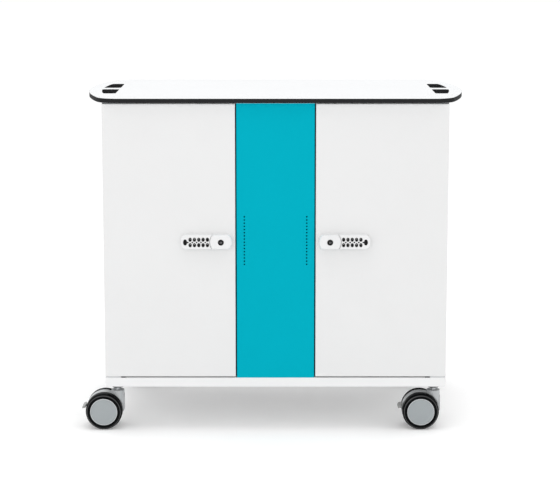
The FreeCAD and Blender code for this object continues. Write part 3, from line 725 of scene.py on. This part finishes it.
def dress_sockets():
    low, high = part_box("charging_unit")
    floor_y = high.y - STRIP_DEPTH + SOCKET_RECESS
    face_y = floor_y - SOCKET_PLATE_DEPTH
    plate_y = face_y + SOCKET_FACE_DEPTH
    pitch = (high.z - low.z) / SOCKET_COUNT
    plates = []
    slots = []
    for x in (low.x + STRIP_HALF_WIDTH, high.x - STRIP_HALF_WIDTH):
        for index in range(SOCKET_COUNT):
            level = low.z + (index + 0.5) * pitch
            plates.append(square(x, level, SOCKET_PLATE, plate_y, floor_y))
            plates.append(square(x, level, SOCKET_FACE, face_y, plate_y))
            slots.extend(pin_slots(x, level, face_y))
    mesh = mesh_from("socket_plates", *join_forms(plates), False)
    finish_piece("socket_plates", mesh, "carcass", [SOCKET_WHITE])
    # The pin slots are thin black blocks on the socket faces: painted shade that stands for the dark pin
    # holes
    mesh = mesh_from("socket_slots", *join_forms(slots), False)
    finish_piece("socket_slots", mesh, "carcass", [PIP_BLACK])


dress_inlet()
dress_sockets()


# Floor, light and camera

def direct_rays(tree):
    path = tree.nodes.new("ShaderNodeLightPath")
    first = tree.nodes.new("ShaderNodeMath")
    first.operation = "MAXIMUM"
    second = tree.nodes.new("ShaderNodeMath")
    second.operation = "MAXIMUM"
    tree.links.new(path.outputs["Is Camera Ray"], first.inputs[0])
    tree.links.new(path.outputs["Is Glossy Ray"], first.inputs[1])
    tree.links.new(first.outputs["Value"], second.inputs[0])
    tree.links.new(path.outputs["Is Transmission Ray"], second.inputs[1])
    return second.outputs["Value"]


def make_floor():
    half = FLOOR_SIZE / 2
    points = [(-half, -half, 0), (half, -half, 0), (half, half, 0), (-half, half, 0)]
    mesh = mesh_from("studio_floor", points, [(0, 1, 2, 3)], False)
    floor = bpy.data.objects.new("studio_floor", mesh)
    bpy.context.scene.collection.objects.link(floor)
    grey = (FLOOR_ALBEDO, FLOOR_ALBEDO, FLOOR_ALBEDO)
    made = start_material("studio_floor", grey, FLOOR_ROUGHNESS, specular=0.0)
    tree = made.node_tree
    shader = tree.nodes["Principled BSDF"]
    shader.inputs["Emission Color"].default_value = (1.0, 1.0, 1.0, 1.0)
    scaled = tree.nodes.new("ShaderNodeMath")
    scaled.operation = "MULTIPLY"
    scaled.inputs[1].default_value = FLOOR_GLOW
    tree.links.new(direct_rays(tree), scaled.inputs[0])
    tree.links.new(scaled.outputs["Value"], shader.inputs["Emission Strength"])
    floor.data.materials.append(made)


def make_world():
    world = bpy.data.worlds.new("studio")
    bpy.context.scene.world = world
    world.use_nodes = True
    tree = world.node_tree
    sky = tree.nodes["Background"]
    sky.inputs["Color"].default_value = (1.0, 1.0, 1.0, 1.0)
    level = tree.nodes.new("ShaderNodeMapRange")
    level.inputs["To Min"].default_value = WORLD_STRENGTH
    level.inputs["To Max"].default_value = 1.0
    tree.links.new(direct_rays(tree), level.inputs["Value"])
    tree.links.new(level.outputs["Result"], sky.inputs["Strength"])


def make_lamp(name, place, aim, size, power):
    lamp = bpy.data.lights.new(name, "AREA")
    lamp.shape = "RECTANGLE"
    lamp.size = size[0]
    lamp.size_y = size[1]
    lamp.energy = power
    holder = bpy.data.objects.new(name, lamp)
    bpy.context.scene.collection.objects.link(holder)
    holder.location = place
    holder.rotation_euler = (Vector(aim) - Vector(place)).to_track_quat("-Z", "Y").to_euler()


def make_camera():
    low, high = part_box("worktop")
    data = bpy.data.cameras.new("photo_camera")
    data.lens = LENS
    data.sensor_width = SENSOR
    data.shift_x = SHIFT_X
    data.shift_y = SHIFT_Y
    camera = bpy.data.objects.new("photo_camera", data)
    bpy.context.scene.collection.objects.link(camera)
    camera.location = (0.0, low.y - CAMERA_DISTANCE, high.z + CAMERA_RISE)
    camera.rotation_euler = (math.radians(90.0 - CAMERA_PITCH), 0.0, 0.0)
    bpy.context.scene.camera = camera


make_floor()
make_world()
make_lamp("soft_key", KEY_LAMP_PLACE, KEY_LAMP_AIM, KEY_LAMP_SIZE, KEY_LAMP_POWER)
make_lamp("soft_top", TOP_LAMP_PLACE, TOP_LAMP_AIM, TOP_LAMP_SIZE, TOP_LAMP_POWER)
make_camera()
bpy.context.scene.view_settings.view_transform = "Standard"
